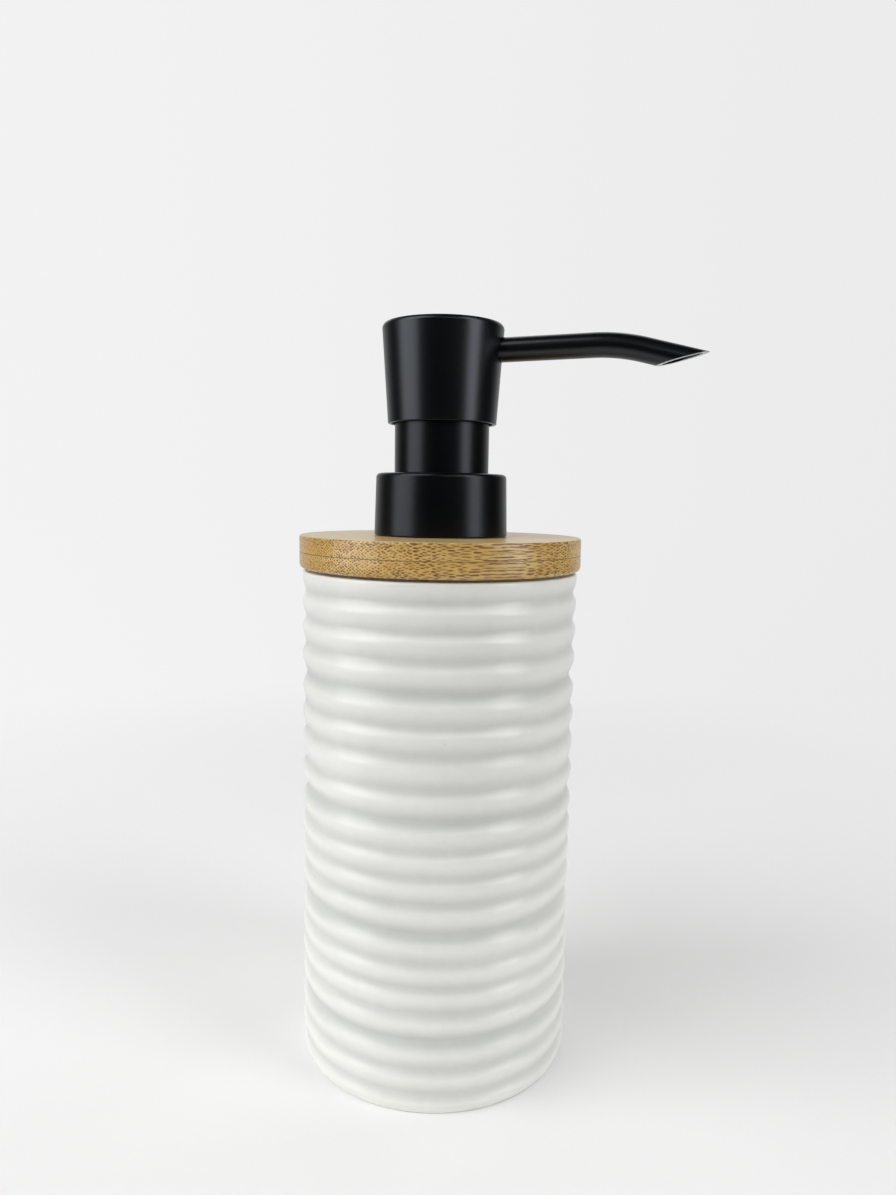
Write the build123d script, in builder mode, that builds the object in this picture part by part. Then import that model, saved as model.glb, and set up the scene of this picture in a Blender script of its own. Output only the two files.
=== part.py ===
from build123d import *
import os

os.makedirs("parts", exist_ok=True)

# Soap pump dispenser: a ribbed ceramic bottle, a bamboo lid pressed into its mouth, and a pump
# screwed to a threaded bushing in the lid. Millimetres. Z = 0 is the plane the bottle stands on,
# every turned piece is centred on Z, and the spout points along +X.

# ---- Driving dimensions ----

# Bottle
bottle_height = 132.4
crest_radius = 36.7
foot_radius = 35.9
mouth_radius = 31.6
floor_thickness = 6.0
floor_corner_radius = 5.0

# Throwing ribs: equal ribs, and every fourth groove between them is wider and deeper. They crowd
# a little towards the foot, and one rib came out broader than the rest.
rib_width = 5.2
groove_width = 1.5
groove_depth = 0.75
wide_groove_width = 3.4
wide_groove_depth = 1.15
groove_count = 18
wide_groove_every = 4
top_groove_level = 127.0
top_spacing = 1.035
foot_spacing = 0.935
broad_rib = 6
broad_rib_extra = 1.7

# Bamboo lid
lid_radius = 37.5
lid_thickness = 8.7
lid_bore_radius = 14.3
lid_top_edge = 0.5
lid_bottom_edge = 1.1
plug_radius = 30.6
plug_height = 7.0
seal_groove_radius = 29.2
seal_height = 2.4
seal_clearance = 0.1

# Closure thread: 28 mm neck, 6 turns per inch
thread_pitch = 25.4 / 6
thread_turns = 1.5
neck_radius = 12.75
neck_bore_radius = 10.2
ridge_height = 1.2
ridge_root_width = 2.4
ridge_crest_width = 1.3
ridge_overlap = 0.15
thread_clearance = 0.3

# Collar
collar_bottom_radius = 17.55
collar_top_radius = 17.25
collar_height = 16.4
collar_edge = 1.1
collar_wall = 0.6
collar_lid_gap = 0.2
insert_radius = 16.55
lip_thickness = 0.8
sleeve_flange_radius = 15.5
flange_gap = 0.1

# Sleeve and head
sleeve_radius = 12.4
sleeve_bore_radius = 11.7
sleeve_top = 172.0
head_bottom = 170.5
head_top = 196.0
head_bottom_radius = 14.35
head_top_radius = 15.8
head_wall = 1.0
head_edge = 0.7
core_radius = 13.9
core_bottom = 185.0
hub_radius = 6.0
hub_bottom = 170.0

# Spout
spout_radius = 3.15
spout_bore_radius = 2.45
spout_axis_height = 189.0
spout_rise = 1.7
spout_inner_end = 4.5
spout_straight_end = 39.0
spout_bend_radius = 47.0
spout_bend = 16.1
spout_end_run = 18.0
spout_tip = (67.4, 187.5)
spout_heel = (55.4, 184.4)

# Pump engine
neck_top = 153.0
gasket_thickness = 1.0
flange_thickness = 1.2
flange_radius = 12.8
cylinder_radius = 7.6
cylinder_bore_radius = 6.5
spring_step = 111.0
socket_bottom = 89.0
dip_tube_top = 100.0
dip_tube_bottom = 9.0
dip_tube_radius = 3.0
dip_tube_bore_radius = 2.1
stem_radius = 4.2
stem_bore_radius = 2.4
stem_bottom = 145.4
stem_top = 177.0
running_gap = 0.1
guide_bottom = 149.2
rod_foot = 137.0
rod_foot_radius = 5.4
rod_radius = 1.7
piston_radius = 6.45
inlet_ball_radius = 2.4
inlet_ball_level = 104.95
outlet_ball_radius = 2.2
outlet_ball_level = 174.2
spring_radius = 4.5
spring_wire_radius = 0.45
spring_turns = 9

# ---- Worked out from them ----

lid_bottom = bottle_height
lid_seam = lid_bottom + lid_thickness / 2
lid_top = lid_bottom + lid_thickness
plug_bottom = lid_bottom - plug_height
seal_bottom = plug_bottom + (plug_height - seal_height) / 2
collar_bottom = lid_top + collar_lid_gap
collar_top = lid_top + collar_height
sleeve_flange_top = collar_top - collar_wall
sleeve_flange_bottom = sleeve_flange_top - lip_thickness
lip_bottom = sleeve_flange_bottom - lip_thickness
flange_bottom = neck_top + gasket_thickness
flange_top = flange_bottom + flange_thickness
ridge_start = lid_top + 3.1
insert_bore_radius = neck_radius + ridge_height + thread_clearance + 0.05
head_slope = (head_top_radius - head_bottom_radius) / (head_top - head_bottom)


def outline(*corners):
    """Closed half section of a turned piece, as (radius, height) corners."""
    with BuildSketch(Plane.XZ) as section:
        with BuildLine():
            Polyline(*corners, close=True)
        make_face()
    return section.sketch


def ring(inner, outer, bottom, top):
    """Half section of a plain ring."""
    return outline((inner, bottom), (outer, bottom), (outer, top), (inner, top))


def thread_ridge(radius, height, turns, start, angle):
    """Helical ridge on the given radius, outward for a positive height, inward for a negative one."""
    root = radius - ridge_overlap * height / abs(height)
    crest = radius + height
    with BuildPart() as ridge:
        with BuildLine() as path:
            Helix(thread_pitch, thread_pitch * turns, radius)
        with BuildSketch(Plane.XZ):
            with BuildLine():
                Polyline(
                    (root, -ridge_root_width / 2),
                    (crest, -ridge_crest_width / 2),
                    (crest, ridge_crest_width / 2),
                    (root, ridge_root_width / 2),
                    close=True,
                )
            make_face()
        sweep(path=path.line, is_frenet=True)
    return Pos(0, 0, start) * Rot(0, 0, angle) * ridge.part


def groove_rule():
    """Level, floor half width and depth of each groove, from the rim down to the foot."""
    grooves = []
    level = top_groove_level
    last_width = 0
    for number in range(groove_count):
        wide = number % wide_groove_every == wide_groove_every - 1
        width = wide_groove_width if wide else groove_width
        depth = wide_groove_depth if wide else groove_depth
        if number > 0:
            share = level / top_groove_level
            spacing = foot_spacing + (top_spacing - foot_spacing) * share
            level -= spacing * (rib_width + (width + last_width) / 2)
        if number == broad_rib:
            level -= broad_rib_extra
        grooves.append((level, width / 4, depth))
        last_width = width
    return grooves


# ---- Bottle ----

# The outside runs from the rim to the foot: one arc for each rib, one short line for each groove.
with BuildPart() as bottle:
    with BuildSketch(Plane.XZ):
        with BuildLine():
            grooves = groove_rule()
            rim_corner = (crest_radius - 0.5, bottle_height)
            FilletPolyline(
                (0, floor_thickness),
                (mouth_radius, floor_thickness),
                (mouth_radius, bottle_height),
                radius=floor_corner_radius,
            )
            Line((mouth_radius, bottle_height), rim_corner)
            upper = rim_corner
            for level, half_floor, depth in grooves:
                rib_end = (crest_radius - depth, level + half_floor)
                crest = (crest_radius, (upper[1] + rib_end[1]) / 2)
                ThreePointArc(upper, crest, rib_end)
                upper = (crest_radius - depth, level - half_floor)
                Line(rib_end, upper)
            ThreePointArc(upper, (foot_radius + 0.55, upper[1] * 0.55), (foot_radius, 0))
            Line((foot_radius, 0), (0, 0))
            Line((0, 0), (0, floor_thickness))
        make_face()
    revolve(axis=Axis.Z)
    fillet(bottle.edges().filter_by(GeomType.CIRCLE).group_by(Axis.Z)[-1], 0.8)
    fillet(bottle.edges().filter_by(GeomType.CIRCLE).group_by(Axis.Z)[0], 0.5)

bottle.part.label = "bottle"
export_step(bottle.part, "parts/bottle.step")

# ---- Bamboo lid: two glued plies and a plug ply below them ----

with BuildPart() as lid_upper_ply:
    revolve(ring(lid_bore_radius, lid_radius, lid_seam, lid_top), axis=Axis.Z)
    fillet(lid_upper_ply.edges().group_by(Axis.Z)[-1].sort_by(SortBy.RADIUS)[-1], lid_top_edge)

lid_upper_ply.part.label = "lid_upper_ply"
export_step(lid_upper_ply.part, "parts/lid_upper_ply.step")

with BuildPart() as lid_lower_ply:
    revolve(ring(lid_bore_radius, lid_radius, lid_bottom, lid_seam), axis=Axis.Z)
    fillet(lid_lower_ply.edges().group_by(Axis.Z)[0].sort_by(SortBy.RADIUS)[-1], lid_bottom_edge)

lid_lower_ply.part.label = "lid_lower_ply"
export_step(lid_lower_ply.part, "parts/lid_lower_ply.step")

# The plug ply centres the lid in the mouth and carries the seal in a groove.
with BuildPart() as lid_plug:
    revolve(ring(lid_bore_radius, plug_radius, plug_bottom, lid_bottom), axis=Axis.Z)
    revolve(
        ring(seal_groove_radius, plug_radius + 1, seal_bottom, seal_bottom + seal_height),
        axis=Axis.Z,
        mode=Mode.SUBTRACT,
    )
    chamfer(lid_plug.edges().group_by(Axis.Z)[0].sort_by(SortBy.RADIUS)[-1], 0.8)

lid_plug.part.label = "lid_plug"
export_step(lid_plug.part, "parts/lid_plug.step")

# Silicone ring: a band with two thin fins that wipe the mouth.
with BuildPart() as lid_seal_ring:
    revolve(
        ring(seal_groove_radius, plug_radius - 0.1, seal_bottom, seal_bottom + seal_height),
        axis=Axis.Z,
    )
    for fin_bottom in (seal_bottom + 0.3, seal_bottom + seal_height - 0.9):
        revolve(
            ring(plug_radius - 0.5, mouth_radius - seal_clearance, fin_bottom, fin_bottom + 0.6),
            axis=Axis.Z,
        )

lid_seal_ring.part.label = "lid_seal_ring"
export_step(lid_seal_ring.part, "parts/lid_seal_ring.step")

# ---- Neck bushing: flange under the plug, barrel through the lid, threaded neck above it ----

with BuildPart() as neck_bushing:
    revolve(
        outline(
            (neck_bore_radius, plug_bottom - 2),
            (18, plug_bottom - 2),
            (18, plug_bottom),
            (lid_bore_radius - 0.1, plug_bottom),
            (lid_bore_radius - 0.1, lid_top),
            (neck_radius, lid_top),
            (neck_radius, neck_top),
            (neck_bore_radius, neck_top),
        ),
        axis=Axis.Z,
    )
    add(thread_ridge(neck_radius, ridge_height, thread_turns, ridge_start, 0))

neck_bushing.part.label = "neck_bushing"
export_step(neck_bushing.part, "parts/neck_bushing.step")

# ---- Collar: metal shell, threaded insert, and the fixed sleeve clamped between them ----

with BuildPart() as collar_shell:
    revolve(
        outline(
            (collar_bottom_radius - collar_wall, collar_bottom),
            (collar_bottom_radius, collar_bottom),
            (collar_top_radius, collar_top),
            (sleeve_radius + 0.1, collar_top),
            (sleeve_radius + 0.1, sleeve_flange_top),
            (collar_top_radius - collar_wall, sleeve_flange_top),
        ),
        axis=Axis.Z,
    )
    rim = collar_shell.edges().filter_by(GeomType.CIRCLE).group_by(Axis.Z)[-1]
    fillet(rim.sort_by(SortBy.RADIUS)[-1], collar_edge)

collar_shell.part.label = "collar_shell"
export_step(collar_shell.part, "parts/collar_shell.step")

# The insert's ridge runs half a pitch away from the neck's, so the two mesh without touching.
insert_ridge_start = collar_bottom + 2.1
insert_ridge_lead = insert_ridge_start - (ridge_start + thread_pitch / 2)

with BuildPart() as collar_insert:
    revolve(
        outline(
            (insert_bore_radius, collar_bottom + 0.4),
            (insert_radius, collar_bottom + 0.4),
            (insert_radius, sleeve_flange_bottom),
            (sleeve_bore_radius, sleeve_flange_bottom),
            (sleeve_bore_radius, lip_bottom),
            (insert_bore_radius, lip_bottom),
        ),
        axis=Axis.Z,
    )
    add(
        thread_ridge(
            insert_bore_radius,
            -ridge_height,
            thread_turns,
            insert_ridge_start,
            360 * insert_ridge_lead / thread_pitch,
        )
    )

collar_insert.part.label = "collar_insert"
export_step(collar_insert.part, "parts/collar_insert.step")

with BuildPart() as sleeve:
    revolve(
        outline(
            (sleeve_bore_radius, sleeve_flange_bottom),
            (sleeve_flange_radius, sleeve_flange_bottom),
            (sleeve_flange_radius, sleeve_flange_top),
            (sleeve_radius, sleeve_flange_top),
            (sleeve_radius, sleeve_top),
            (sleeve_bore_radius, sleeve_top),
        ),
        axis=Axis.Z,
    )
    fillet(sleeve.edges().group_by(Axis.Z)[-1], 0.3)

sleeve.part.label = "sleeve"
export_step(sleeve.part, "parts/sleeve.step")

# ---- Pump engine ----

with BuildPart() as neck_gasket:
    revolve(ring(neck_bore_radius + 0.1, flange_radius, neck_top, flange_bottom), axis=Axis.Z)

neck_gasket.part.label = "neck_gasket"
export_step(neck_gasket.part, "parts/neck_gasket.step")

# From the top: flange, bore, spring step, ball-retaining bead, ball chamber, conical seat, socket.
bead_bottom = 108.1
seat_top = 104.6
seat_bottom = 102.9
inlet_radius = 1.5
socket_radius = 4.6

with BuildPart() as pump_cylinder:
    revolve(
        outline(
            (cylinder_bore_radius, flange_top),
            (flange_radius, flange_top),
            (flange_radius, flange_bottom),
            (cylinder_radius, flange_bottom),
            (cylinder_radius, spring_step - 1.5),
            (socket_radius, seat_top),
            (socket_radius, socket_bottom),
            (dip_tube_radius, socket_bottom),
            (dip_tube_radius, dip_tube_top),
            (inlet_radius, dip_tube_top),
            (inlet_radius, seat_bottom),
            (inlet_ball_radius + 0.5, seat_top),
            (inlet_ball_radius + 0.5, bead_bottom),
            (inlet_ball_radius - 0.25, bead_bottom),
            (inlet_ball_radius - 0.25, bead_bottom + 0.6),
            (inlet_ball_radius + 1, spring_step - 1.5),
            (inlet_ball_radius + 1, spring_step),
            (cylinder_bore_radius, spring_step),
        ),
        axis=Axis.Z,
    )

pump_cylinder.part.label = "pump_cylinder"
export_step(pump_cylinder.part, "parts/pump_cylinder.step")

# The guide snaps into the cylinder's mouth, and the stem slides and turns in its bore.
with BuildPart() as stem_guide:
    revolve(
        outline(
            (stem_radius + running_gap, guide_bottom),
            (cylinder_bore_radius - 0.02, guide_bottom),
            (cylinder_bore_radius - 0.02, flange_top),
            (sleeve_bore_radius - 0.5, flange_top),
            (sleeve_bore_radius - 0.5, flange_top + 1.2),
            (stem_radius + 2, flange_top + 1.2),
            (stem_radius + 1.6, flange_top + 2),
            (stem_radius + running_gap, flange_top + 2),
        ),
        axis=Axis.Z,
    )

stem_guide.part.label = "stem_guide"
export_step(stem_guide.part, "parts/stem_guide.step")

# The dip tube's foot is cut on a slant so that it can't seal against the floor.
with BuildPart() as dip_tube:
    revolve(
        ring(dip_tube_bore_radius, dip_tube_radius, dip_tube_bottom, dip_tube_top),
        axis=Axis.Z,
    )
    split(
        bisect_by=Plane(origin=(0, 0, dip_tube_bottom + dip_tube_radius), z_dir=(1, 0, 1)),
        keep=Keep.TOP,
    )

dip_tube.part.label = "dip_tube"
export_step(dip_tube.part, "parts/dip_tube.step")

with BuildPart() as inlet_ball:
    with Locations((0, 0, inlet_ball_level)):
        Sphere(inlet_ball_radius)

inlet_ball.part.label = "inlet_ball"
export_step(inlet_ball.part, "parts/inlet_ball.step")

spring_start = spring_step + spring_wire_radius + 0.05
spring_run = rod_foot - spring_step - 2 * (spring_wire_radius + 0.05)

with BuildPart() as main_spring:
    with BuildLine() as coil:
        Helix(spring_run / spring_turns, spring_run, spring_radius, center=(0, 0, spring_start))
    with BuildSketch(Plane(origin=coil.line @ 0, z_dir=coil.line % 0)):
        Circle(spring_wire_radius)
    sweep(path=coil.line, is_frenet=True)

main_spring.part.label = "main_spring"
export_step(main_spring.part, "parts/main_spring.step")

# ---- Plunger: stem, rod and piston ----

# The stop bead meets the guide at the top of the stroke. The cone near the top seats the outlet ball.
valve_throat = 1.3
valve_chamber = outlet_ball_radius + 0.55
valve_bottom = 172.2

with BuildPart() as piston_stem:
    revolve(
        outline(
            (stem_bore_radius, stem_bottom),
            (stem_radius, stem_bottom),
            (stem_radius, guide_bottom - 1.2),
            (stem_radius + 1, guide_bottom - 1.2),
            (stem_radius + 1, guide_bottom - 0.1),
            (stem_radius, guide_bottom - 0.1),
            (stem_radius, stem_top),
            (valve_chamber, stem_top),
            (valve_chamber, valve_bottom + 1.8),
            (valve_throat, valve_bottom),
            (valve_throat, valve_bottom - 1.2),
            (stem_bore_radius, valve_bottom - 1.2),
        ),
        axis=Axis.Z,
    )

piston_stem.part.label = "piston_stem"
export_step(piston_stem.part, "parts/piston_stem.step")

# The rod carries the spring on its foot, closes the piston with its cone, and plugs into the
# stem with four fins that leave the soap a way past.
fin_bottom = stem_bottom + 1.6
fin_height = 10.0

with BuildPart() as piston_rod:
    revolve(
        outline(
            (0, rod_foot),
            (rod_foot_radius, rod_foot),
            (rod_foot_radius, rod_foot + 1.2),
            (3.7, rod_foot + 1.2),
            (rod_radius, rod_foot + 3.2),
            (rod_radius, fin_bottom + fin_height),
            (0, fin_bottom + fin_height),
        ),
        axis=Axis.Z,
    )
    with BuildSketch(Plane.XY.offset(fin_bottom)):
        for turn in (0, 90):
            Rectangle(2 * stem_bore_radius, 1.2, rotation=turn)
        Circle(stem_bore_radius, mode=Mode.INTERSECT)
    extrude(amount=fin_height)

piston_rod.part.label = "piston_rod"
export_step(piston_rod.part, "parts/piston_rod.step")

# The piston slides a little on the plunger: it rests on the rod's cone, and the stem's end
# pushes it once the gap above its shoulder has closed.
piston_bottom = rod_foot + 2.45
piston_shoulder = stem_bottom - 1.2
piston_top = piston_shoulder + 2.4

with BuildPart() as piston_seal:
    revolve(
        outline(
            (rod_radius + 0.9, piston_bottom),
            (rod_radius + 1.5, piston_bottom),
            (rod_radius + 1.5, piston_bottom + 1.6),
            (piston_radius - 0.7, piston_bottom + 0.2),
            (piston_radius, piston_bottom + 0.2),
            (piston_radius - 0.7, piston_bottom + 2.4),
            (piston_radius - 0.7, piston_top - 1.6),
            (piston_radius, piston_top),
            (piston_radius - 0.5, piston_top),
            (stem_radius + 0.8, piston_top - 1),
            (stem_radius + running_gap, piston_top - 1),
            (stem_radius + running_gap, piston_shoulder),
            (rod_radius + 0.9, piston_shoulder),
        ),
        axis=Axis.Z,
    )

piston_seal.part.label = "piston_seal"
export_step(piston_seal.part, "parts/piston_seal.step")

with BuildPart() as outlet_ball:
    with Locations((0, 0, outlet_ball_level)):
        Sphere(outlet_ball_radius)

outlet_ball.part.label = "outlet_ball"
export_step(outlet_ball.part, "parts/outlet_ball.step")

# ---- Head ----

spout_root = Plane(
    origin=(0, 0, spout_axis_height),
    x_dir=(0, 1, 0),
    z_dir=Vector(1, 0, 0).rotate(Axis.Y, -spout_rise),
)

with BuildPart() as head_shell:
    revolve(
        outline(
            (head_bottom_radius - head_wall, head_bottom),
            (head_bottom_radius, head_bottom),
            (head_top_radius, head_top),
            (0, head_top),
            (0, head_top - head_wall),
            (head_top_radius - head_wall * (1 + head_slope), head_top - head_wall),
        ),
        axis=Axis.Z,
    )
    outer_rims = head_shell.edges().filter_by(GeomType.CIRCLE).group_by(Axis.Z)
    fillet(outer_rims[-1], head_edge)
    fillet(outer_rims[0], 0.3)
    with BuildSketch(spout_root):
        Circle(spout_radius + 0.1)
    extrude(amount=head_top_radius + 2, mode=Mode.SUBTRACT)

head_shell.part.label = "head_shell"
export_step(head_shell.part, "parts/head_shell.step")

# The core fills the shell's top, holds the spout, and plugs onto the stem.
channel_radius = 1.9

with BuildPart() as head_core:
    revolve(
        outline(
            (0, hub_bottom),
            (hub_radius, hub_bottom),
            (hub_radius, core_bottom),
            (core_radius, core_bottom),
            (core_radius, head_top - head_wall),
            (0, head_top - head_wall),
        ),
        axis=Axis.Z,
    )
    revolve(ring(0, stem_radius, hub_bottom, stem_top), axis=Axis.Z, mode=Mode.SUBTRACT)
    revolve(ring(0, channel_radius, stem_top, spout_axis_height), axis=Axis.Z, mode=Mode.SUBTRACT)
    with BuildSketch(Plane.XY.offset(stem_top)):
        for turn in (45, 135):
            Rectangle(2 * outlet_ball_radius + 0.8, 0.9, rotation=turn)
    extrude(amount=1.4, mode=Mode.SUBTRACT)
    with BuildSketch(spout_root):
        Circle(spout_bore_radius)
    extrude(amount=spout_inner_end + 1, mode=Mode.SUBTRACT)
    with BuildSketch(spout_root.offset(spout_inner_end)):
        Circle(spout_radius)
    extrude(amount=core_radius, mode=Mode.SUBTRACT)

head_core.part.label = "head_core"
export_step(head_core.part, "parts/head_core.step")

# Bent tube, cut off on a slant from below so that the last drop falls at the tip.
cut_run = Vector(spout_tip[0] - spout_heel[0], 0, spout_tip[1] - spout_heel[1])

with BuildPart() as spout_tube:
    with BuildLine() as spout_path:
        root_run = Line(
            spout_root.from_local_coords((0, 0, spout_inner_end)),
            spout_root.from_local_coords((0, 0, spout_straight_end)),
        )
    with BuildLine(Plane.XZ) as spout_bend_path:
        start = (root_run @ 1).X, (root_run @ 1).Z
        tangent = (root_run % 1).X, (root_run % 1).Z
        bend = JernArc(start, tangent, spout_bend_radius, -spout_bend)
        Line(bend @ 1, bend @ 1 + (bend % 1) * spout_end_run)
    spout_route = Wire(spout_path.line.edges() + spout_bend_path.line.edges())
    with BuildSketch(spout_root.offset(spout_inner_end)):
        Circle(spout_radius)
        Circle(spout_bore_radius, mode=Mode.SUBTRACT)
    sweep(path=spout_route)
    split(
        bisect_by=Plane(
            origin=(spout_heel[0], 0, spout_heel[1]),
            z_dir=(-cut_run.Z, 0, cut_run.X),
        ),
        keep=Keep.TOP,
    )

spout_tube.part.label = "spout_tube"
export_step(spout_tube.part, "parts/spout_tube.step")
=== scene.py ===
import math

import bmesh
import bpy
from mathutils import Matrix, Vector


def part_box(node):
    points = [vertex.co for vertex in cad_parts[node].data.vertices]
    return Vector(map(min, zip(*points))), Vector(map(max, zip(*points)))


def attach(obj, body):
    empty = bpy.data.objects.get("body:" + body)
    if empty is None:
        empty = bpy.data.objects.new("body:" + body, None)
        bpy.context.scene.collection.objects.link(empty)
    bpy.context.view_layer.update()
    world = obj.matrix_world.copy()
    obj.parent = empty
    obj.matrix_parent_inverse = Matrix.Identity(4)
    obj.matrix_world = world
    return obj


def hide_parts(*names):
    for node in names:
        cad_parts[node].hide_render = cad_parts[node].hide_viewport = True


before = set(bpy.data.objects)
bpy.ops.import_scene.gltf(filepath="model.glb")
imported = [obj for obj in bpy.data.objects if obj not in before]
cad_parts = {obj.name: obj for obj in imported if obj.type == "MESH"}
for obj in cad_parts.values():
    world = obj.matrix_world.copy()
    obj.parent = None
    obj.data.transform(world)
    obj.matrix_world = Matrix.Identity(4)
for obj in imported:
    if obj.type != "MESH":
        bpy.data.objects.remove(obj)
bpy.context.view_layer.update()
mm = 0.001
print("frame loaded:", len(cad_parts), "nodes")


class Wire:
    # one output socket, so that sums on it add Math nodes
    def __init__(self, graph, made, socket):
        self.graph = graph
        self.made = made
        self.socket = socket

    def also(self, name):
        return Wire(self.graph, self.made, self.made.outputs[name])

    def maths(self, operation, *others):
        return self.graph.maths(operation, self, *others)

    def __add__(self, other):
        return self.maths("ADD", other)

    __radd__ = __add__

    def __sub__(self, other):
        return self.maths("SUBTRACT", other)

    def __rsub__(self, other):
        return self.graph.maths("SUBTRACT", other, self)

    def __mul__(self, other):
        return self.maths("MULTIPLY", other)

    __rmul__ = __mul__

    def __truediv__(self, other):
        return self.maths("DIVIDE", other)

    def __pow__(self, other):
        return self.maths("POWER", other)


class Graph:
    # a shader or geometry tree, filled node by node
    def __init__(self, tree):
        self.tree = tree
        self.tree.nodes.clear()

    def node(self, kind, settings=None, values=None, out=0):
        made = self.tree.nodes.new(kind)
        for key, setting in (settings or {}).items():
            setattr(made, key, setting)
        for key, value in (values or {}).items():
            if isinstance(value, Wire):
                self.tree.links.new(value.socket, made.inputs[key])
            else:
                made.inputs[key].default_value = value
        socket = made.outputs[out] if len(made.outputs) else None
        return Wire(self, made, socket)

    def maths(self, operation, *terms):
        return self.node("ShaderNodeMath", {"operation": operation}, dict(enumerate(terms)))

    def step(self, value, start, end, low=0.0, high=1.0):
        # eased step from low to high as value goes from start to end
        values = {"Value": value, "From Min": start, "From Max": end, "To Min": low, "To Max": high}
        return self.node("ShaderNodeMapRange", {"interpolation_type": "SMOOTHSTEP"}, values)

    def blend(self, share, first, second):
        return self.node("ShaderNodeMix", {"data_type": "RGBA"}, {0: share, 6: first, 7: second}, out=2)

    def noise(self, place, scale, detail=2.0, roughness=0.5):
        values = {"Vector": place, "Scale": scale, "Detail": detail, "Roughness": roughness}
        return self.node("ShaderNodeTexNoise", None, values)

    def stretch(self, place, scale, turn=0.0, shift=(0, 0, 0)):
        turned = {"Vector": place, "Rotation": (0, 0, turn), "Location": shift}
        spun = self.node("ShaderNodeMapping", {"vector_type": "POINT"}, turned)
        return self.node("ShaderNodeVectorMath", {"operation": "MULTIPLY"}, {0: spun, 1: scale})

    def bump(self, height, distance, strength=1.0):
        values = {"Height": height, "Distance": distance, "Strength": strength}
        return self.node("ShaderNodeBump", None, values)


def linear(red, green, blue):
    # screen colour, 0 to 255, as the light that a shader wants
    return tuple(((c / 255 + 0.055) / 1.055) ** 2.4 if c > 10 else c / 3295 for c in (red, green, blue))


def newFinish(name):
    material = bpy.data.materials.new(name)
    material.use_nodes = True
    return material, Graph(material.node_tree)


def coat(graph, **sockets):
    names = {key.replace("_", " "): value for key, value in sockets.items()}
    shader = graph.node("ShaderNodeBsdfPrincipled", None, names)
    graph.node("ShaderNodeOutputMaterial", None, {"Surface": shader})


def objectPlace(graph):
    return graph.node("ShaderNodeTexCoord", None, None, out="Object")


glazeLook = {
    "crest": linear(239, 239, 234),
    # the groove colour is partly painted shade
    "groove": linear(198, 200, 195),
    "speck": linear(120, 108, 92),
    "bareClay": linear(206, 193, 172),
    "speckSpacing": 2.6 * mm,
    "speckShare": 0.07,
    "cloudScale": 38,
    "clothScale": 320,
    "streakScale": (60, 60, 900),
    "gritScale": 2600,
    "pinholeScale": 1100,
    "roughness": 0.325,
}


def makeGlaze(look=glazeLook):
    material, graph = newFinish("mattGlaze")
    place = objectPlace(graph)
    poolingAndShade = graph.node("ShaderNodeAttribute", {"attribute_name": "poolingAndShade"}, None, out="Fac")
    bare = graph.node("ShaderNodeAttribute", {"attribute_name": "bareFoot"}, None, out="Fac")
    cloud = graph.noise(place, look["cloudScale"], 4, 0.55)
    cloth = graph.noise(place, look["clothScale"], 3, 0.6)
    streak = graph.noise(graph.stretch(place, look["streakScale"]), 1, 3, 0.6)
    grit = graph.noise(place, look["gritScale"], 2, 0.5)
    cells = {"Vector": place, "Scale": 1 / look["speckSpacing"], "Randomness": 1.0}
    speck = graph.node("ShaderNodeTexVoronoi", {"feature": "F1"}, cells)
    lot = graph.node("ShaderNodeSeparateColor", None, {"Color": speck.also("Color")})
    chosen = graph.step(lot, 1 - look["speckShare"], 1 - look["speckShare"] + 0.01)
    size = 0.02 + lot.also("Green") * 0.035
    dots = graph.step(speck.also("Distance") - size, 0.012, 0.0) * chosen
    pinCells = {"Vector": place, "Scale": look["pinholeScale"], "Randomness": 1.0}
    pin = graph.node("ShaderNodeTexVoronoi", {"feature": "F1"}, pinCells)
    pinLot = graph.node("ShaderNodeSeparateColor", None, {"Color": pin.also("Color")})
    pinhole = graph.step(pin.also("Distance"), 0.22, 0.10) * graph.step(pinLot, 0.90, 0.92)
    # painted shade: the grooves go greyer and darker, partly from glaze pooled thicker there, partly to
    # deepen the shading of the ribs
    shade = poolingAndShade * 0.75 + (cloud - 0.5) * 0.7 + (cloth - 0.5) * 0.25
    colour = graph.blend(graph.step(shade, -0.38, 1.3), (*look["crest"], 1), (*look["groove"], 1))
    colour = graph.blend(dots * 0.6, colour, (*look["speck"], 1))
    clay = graph.blend(grit, (*look["bareClay"], 1), (*linear(186, 171, 148), 1))
    colour = graph.blend(bare, colour, clay)
    height = streak * 0.5 + cloth * 0.22 + grit * 0.06 - pinhole * 0.25 - bare * 0.4
    rough = look["roughness"] + (cloud - 0.5) * 0.12 + pinhole * 0.2 + bare * 0.4
    coat(
        graph,
        Base_Color=colour,
        Roughness=rough,
        Specular_IOR_Level=0.8,
        Normal=graph.bump(height, 0.08 * mm, 0.6),
    )
    return material


bambooLook = {
    "grainTurn": 37.0,
    "stripWidth": 19.0 * mm,
    "bundleSpread": 0.72 * mm,
    "bundleRows": 0.53 * mm,
    "bundleWander": 0.55,
    "dashLength": 2.6 * mm,
    "cloudScale": (50, 220, 300),
    "bendScale": (330, 210, 260),
    "fibreScale": (160, 3600, 3600),
    "ground": linear(214, 179, 111),
    "honey": linear(198, 157, 80),
    "pale": linear(232, 204, 144),
    "fleck": linear(116, 72, 18),
    "glue": linear(84, 50, 20),
    "roughness": 0.31,
}


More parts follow.
